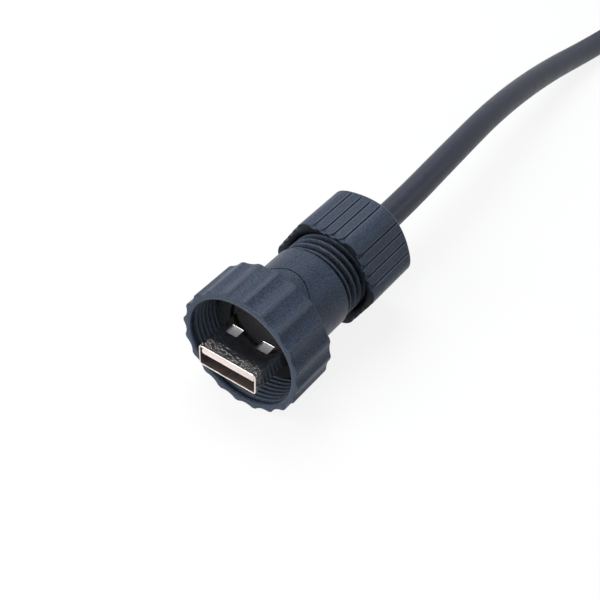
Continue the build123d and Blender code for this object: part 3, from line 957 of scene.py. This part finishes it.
def moulded_nylon(name, greys, blues, edge, painted_shade_colour, grain, depth, rough):
    """Black nylon: grey and blue specks, a painted highlight on edges, and painted shade in
    recesses.
    """
    nodes = Nodes(name)
    nodes.set(Specular_IOR_Level=0.2, IOR=1.4, Specular_Tint=(0.8, 0.9, 1.0))
    fine = nodes.noise(grain, rough=0.6)
    broad = nodes.noise(MOTTLE_SIZE, detail=3, rough=0.55)
    hue = nodes.range(nodes.noise(HUE_GRAINS * grain, rough=0.6), *MOTTLE_SPAN, 0, 1)
    grey = nodes.ramp(fine, *SPECK_SPAN, *greys)
    blue = nodes.ramp(fine, *SPECK_SPAN, *blues)
    colour = nodes.mix(hue, grey, blue)
    # A painted highlight on the marked edges, then painted shade in the marked recesses
    colour = nodes.mix(nodes.pits_and_painted_light(), colour, edge)
    colour = nodes.mix(nodes.painted_shade_amount(PAINTED_SHADE_SHARE), colour, painted_shade_colour)
    roughness = nodes.range(broad, *NOISE_SPAN, rough - SMOOTHER, rough + ROUGHER)
    return nodes.finish(colour, roughness, nodes.bump(fine, depth, nodes.wavy_skin()))


def nickel(name, dark, light, rough, pit_depth):
    """Bright nickel plate, slightly wavy, with sparse small pits where the mesh is marked."""
    nodes = Nodes(name)
    nodes.set(Metallic=1.0)
    grains = nodes.noise(PLATE_GRAINS, rough=0.7)
    colour = nodes.ramp(nodes.noise(PLATE_CLOUDS), *NOISE_SPAN, dark, light)
    roughness = nodes.range(
        grains, *PLATE_GRAIN_SPAN, rough - ROUGHER, rough + PLATE_ROUGHER
    )
    skin = nodes.bump(nodes.noise(PLATE_WAVES, detail=1), PLATE_WAVE_DEPTH)
    pits = nodes.range(nodes.noise(PIT_SIZE, detail=1, rough=0.6), *PIT_SPAN, 0, 1)
    pits = nodes.math("MULTIPLY", pits, nodes.pits_and_painted_light())
    return nodes.finish(colour, roughness, nodes.bump(pits, pit_depth, skin))


def insulator(name, greys, creams, rough, depth):
    """The plug's pale tongue: satin, creamy at its moulded tip, and darker grey along its length as
    painted shade under the shell.
    """
    nodes = Nodes(name)
    fine = nodes.noise(0.5, detail=3)
    grey = nodes.ramp(fine, *NOISE_SPAN, *greys)
    cream = nodes.ramp(fine, *NOISE_SPAN, *creams)
    colour = nodes.mix(nodes.pits_and_painted_light(), grey, cream)
    roughness = nodes.range(fine, *NOISE_SPAN, rough - ROUGHER, rough + ROUGHER)
    return nodes.finish(colour, roughness, nodes.bump(fine, depth))


def plain_finish(name, dark, light, size, rough, depth, detail=3, metallic=0.0, specular=0.5):
    """A finish of two close tones, with a slight relief and uneven gloss from one noise."""
    nodes = Nodes(name)
    nodes.set(Metallic=metallic, Specular_IOR_Level=specular)
    fine = nodes.noise(size, detail)
    colour = nodes.ramp(fine, *NOISE_SPAN, dark, light)
    roughness = nodes.range(fine, *NOISE_SPAN, rough - ROUGHER, rough + ROUGHER)
    return nodes.finish(colour, roughness, nodes.bump(fine, depth))


def connector_finishes():
    """The finishes of the connector, by slot."""
    return {
        "black_nylon": moulded_nylon(
            "black_nylon",
            greys=((0.02, 0.022, 0.03), (0.052, 0.056, 0.076)),
            blues=((0.014, 0.025, 0.042), (0.041, 0.071, 0.12)),
            # The edge colour is a painted highlight, and the colour after it painted shade
            edge=(0.1, 0.11, 0.138),
            painted_shade_colour=(0.009, 0.01, 0.013),
            grain=0.23,
            depth=0.065,
            rough=0.36,
        ),
        # A darker copy of the nylon for the plug carrier deep in the ring: painted shade
        "carrier_nylon_painted_shade": grained_plastic(
            "carrier_nylon_painted_shade",
            dark=(0.008, 0.009, 0.012),
            light=(0.017, 0.019, 0.024),
            grain=0.24,
            depth=0.03,
            rough=0.5,
            specular=0.12,
        ),
        "seal_rubber": plain_finish(
            "seal_rubber",
            dark=(0.005, 0.0055, 0.007),
            light=(0.012, 0.013, 0.016),
            size=0.4,
            rough=0.65,
            depth=0.01,
            specular=0.12,
        ),
        "washer_nylon": plain_finish(
            "washer_nylon",
            dark=(0.6, 0.58, 0.54),
            light=(0.75, 0.73, 0.7),
            size=0.8,
            rough=0.4,
            depth=0.006,
        ),
        "plug_shell": nickel(
            "nickel_plate",
            dark=(0.72, 0.66, 0.62),
            light=(0.86, 0.81, 0.78),
            rough=0.14,
            pit_depth=0.05,
        ),
        # A darker, browner copy of the nickel for the shell's inner faces: painted shade
        "plug_inside_painted_shade": nickel(
            "nickel_inside_painted_shade",
            dark=(0.26, 0.2, 0.19),
            light=(0.36, 0.3, 0.28),
            rough=0.42,
            pit_depth=0.0,
        ),
        "tongue_plastic": insulator(
            "tongue_plastic",
            # Its greys are painted shade for the part under the shell
            greys=((0.36, 0.37, 0.39), (0.43, 0.44, 0.46)),
            creams=((0.54, 0.46, 0.44), (0.62, 0.54, 0.52)),
            rough=0.42,
            depth=0.006,
        ),
        "gold_contact": plain_finish(
            "gold_flash",
            dark=(0.72, 0.5, 0.2),
            light=(0.86, 0.66, 0.32),
            size=0.12,
            rough=0.26,
            depth=0.003,
            detail=2,
            metallic=1.0,
        ),
        "ferrule_brass": plain_finish(
            "ferrule_brass",
            dark=(0.55, 0.38, 0.16),
            light=(0.7, 0.52, 0.26),
            size=0.3,
            rough=0.3,
            depth=0.006,
            metallic=1.0,
        ),
    }


def cord_finishes():
    """The finishes of the cord, its ties and the far plug's grip, by slot."""
    return {
        "cord_jacket": grained_plastic(
            "cord_jacket",
            dark=(0.009, 0.0115, 0.0235),
            light=(0.018, 0.022, 0.04),
            grain=0.3,
            depth=0.008,
            rough=0.42,
            specular=0.3,
        ),
        "tie_plastic": grained_plastic(
            "tie_plastic",
            dark=(0.012, 0.012, 0.014),
            light=(0.03, 0.03, 0.034),
            grain=0.35,
            depth=0.05,
            rough=0.7,
            specular=0.4,
        ),
        "grip_plastic": grained_plastic(
            "grip_plastic",
            dark=(0.012, 0.014, 0.018),
            light=(0.026, 0.03, 0.038),
            grain=0.24,
            depth=0.02,
            rough=0.48,
            specular=0.4,
        ),
    }


def wire_finishes():
    """The finishes of the four wires, by slot."""
    made = {}
    for name, colour in WIRE_COLOURS.items():
        slot = f"{name}_insulation"
        light = tuple(min(1.0, WIRE_GAIN * value + WIRE_LIFT) for value in colour)
        made[slot] = plain_finish(slot, colour, light, size=0.5, rough=0.35, depth=0.004)
    return made


def dress(thing, slot, body, *nodes):
    """Gives a piece its finish, its body and the nodes that it stands for."""
    thing.data.materials.clear()
    thing.data.materials.append(materials[slot])
    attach(thing, body)
    if nodes:
        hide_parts(*nodes)
    return thing


def dress_nodes():
    """The finish of each node that is shown as it is."""
    for part in frame["record"]["subparts"]:
        node = frame["nodes"][part["node"]]
        # The plug carrier gets the darker nylon, as painted shade inside the ring
        finish = "carrier_nylon_painted_shade" if part["node"] == "plug_carrier" else part["material_slot"]
        for slot in node.material_slots:
            slot.material = materials[finish]


# Stage, light and camera


def add_camera():
    data = bpy.data.cameras.new("photo_camera")
    data.lens = CAMERA_LENS
    data.sensor_width = CAMERA_SENSOR
    data.clip_start = CAMERA_NEAR * MM
    camera = bpy.data.objects.new("photo_camera", data)
    bpy.context.scene.collection.objects.link(camera)
    turn = Matrix.Rotation(math.radians(CAMERA_AZIMUTH), 4, "Z")
    turn @= Matrix.Rotation(math.radians(90 - CAMERA_ELEVATION), 4, "X")
    turn @= Matrix.Rotation(math.radians(CAMERA_ROLL), 4, "Z")
    camera.matrix_world = Matrix.Translation(Vector(CAMERA_PLACE) * MM) @ turn
    bpy.context.scene.camera = camera


def add_lamp(name, place, size, power, colour):
    """A square soft light that faces the connector."""
    data = bpy.data.lights.new(name, "AREA")
    data.size = size * MM
    data.energy = power
    data.color = colour
    lamp = bpy.data.objects.new(name, data)
    bpy.context.scene.collection.objects.link(lamp)
    away = (Vector(place) - Vector(LAMPS_AIM)).normalized()
    lamp.rotation_euler = away.to_track_quat("Z", "Y").to_euler()
    lamp.location = Vector(place) * MM


def shown_to_camera(tree, plain, background):
    """Mixes in a background for the camera's, glossy and transmitted rays."""
    path = tree.nodes.new("ShaderNodeLightPath")
    shown = path.outputs["Is Camera Ray"]
    for ray in ("Is Transmission Ray", "Is Glossy Ray"):
        either = tree.nodes.new("ShaderNodeMath")
        either.operation = "MAXIMUM"
        tree.links.new(shown, either.inputs[0])
        tree.links.new(path.outputs[ray], either.inputs[1])
        shown = either.outputs[0]
    mix = tree.nodes.new("ShaderNodeMixShader")
    tree.links.new(shown, mix.inputs[0])
    tree.links.new(plain, mix.inputs[1])
    tree.links.new(background, mix.inputs[2])
    return mix.outputs[0]


def add_world():
    world = bpy.data.worlds.new("studio")
    world.use_nodes = True
    bpy.context.scene.world = world
    tree = world.node_tree
    plain = tree.nodes["Background"]
    plain.inputs["Color"].default_value = (*WORLD_COLOUR, 1)
    plain.inputs["Strength"].default_value = WORLD_STRENGTH
    white = tree.nodes.new("ShaderNodeBackground")
    white.inputs["Color"].default_value = (1, 1, 1, 1)
    white.inputs["Strength"].default_value = 1
    mixed = shown_to_camera(tree, plain.outputs[0], white.outputs[0])
    tree.links.new(mixed, tree.nodes["World Output"].inputs["Surface"])


def add_floor():
    mesh = bpy.data.meshes.new("floor")
    reach = FLOOR_REACH * MM
    corners = [(-reach, -reach), (reach, -reach), (reach, reach), (-reach, reach)]
    corners = [(*corner, FLOOR * MM) for corner in corners]
    mesh.from_pydata(corners, [], [(0, 1, 2, 3)])
    floor = bpy.data.objects.new("floor", mesh)
    bpy.context.scene.collection.objects.link(floor)
    material = bpy.data.materials.new("floor_white")
    material.use_nodes = True
    tree = material.node_tree
    plain = tree.nodes["Principled BSDF"]
    plain.inputs["Base Color"].default_value = (*FLOOR_COLOUR, 1)
    plain.inputs["Roughness"].default_value = FLOOR_ROUGHNESS
    glow = tree.nodes.new("ShaderNodeEmission")
    glow.inputs["Strength"].default_value = FLOOR_GLOW
    part = tree.nodes.new("ShaderNodeMixShader")
    part.inputs[0].default_value = FLOOR_GLOW_SHARE
    tree.links.new(plain.outputs[0], part.inputs[1])
    tree.links.new(glow.outputs[0], part.inputs[2])
    mixed = shown_to_camera(tree, plain.outputs[0], part.outputs[0])
    tree.links.new(mixed, tree.nodes["Material Output"].inputs["Surface"])
    mesh.materials.append(material)


add_camera()
materials = {**connector_finishes(), **cord_finishes(), **wire_finishes()}
dress_nodes()
plug_shell("far_plug_sheet", FAR_PLUG, "root", "far_plug_shell")
plug_tongue("far_plug_insulator", FAR_PLUG, "root", "far_plug_tongue")
cord()
coupling_ring()
connector_body()
gland_nut()
plug_shell("usb_sheet", USB_PLUG, "root", "usb_shell")
plug_tongue("usb_insulator", USB_PLUG, "root", "usb_tongue")
add_world()
add_floor()
for lamp in LAMPS:
    add_lamp(*lamp)
bpy.context.scene.view_settings.view_transform = "Standard"
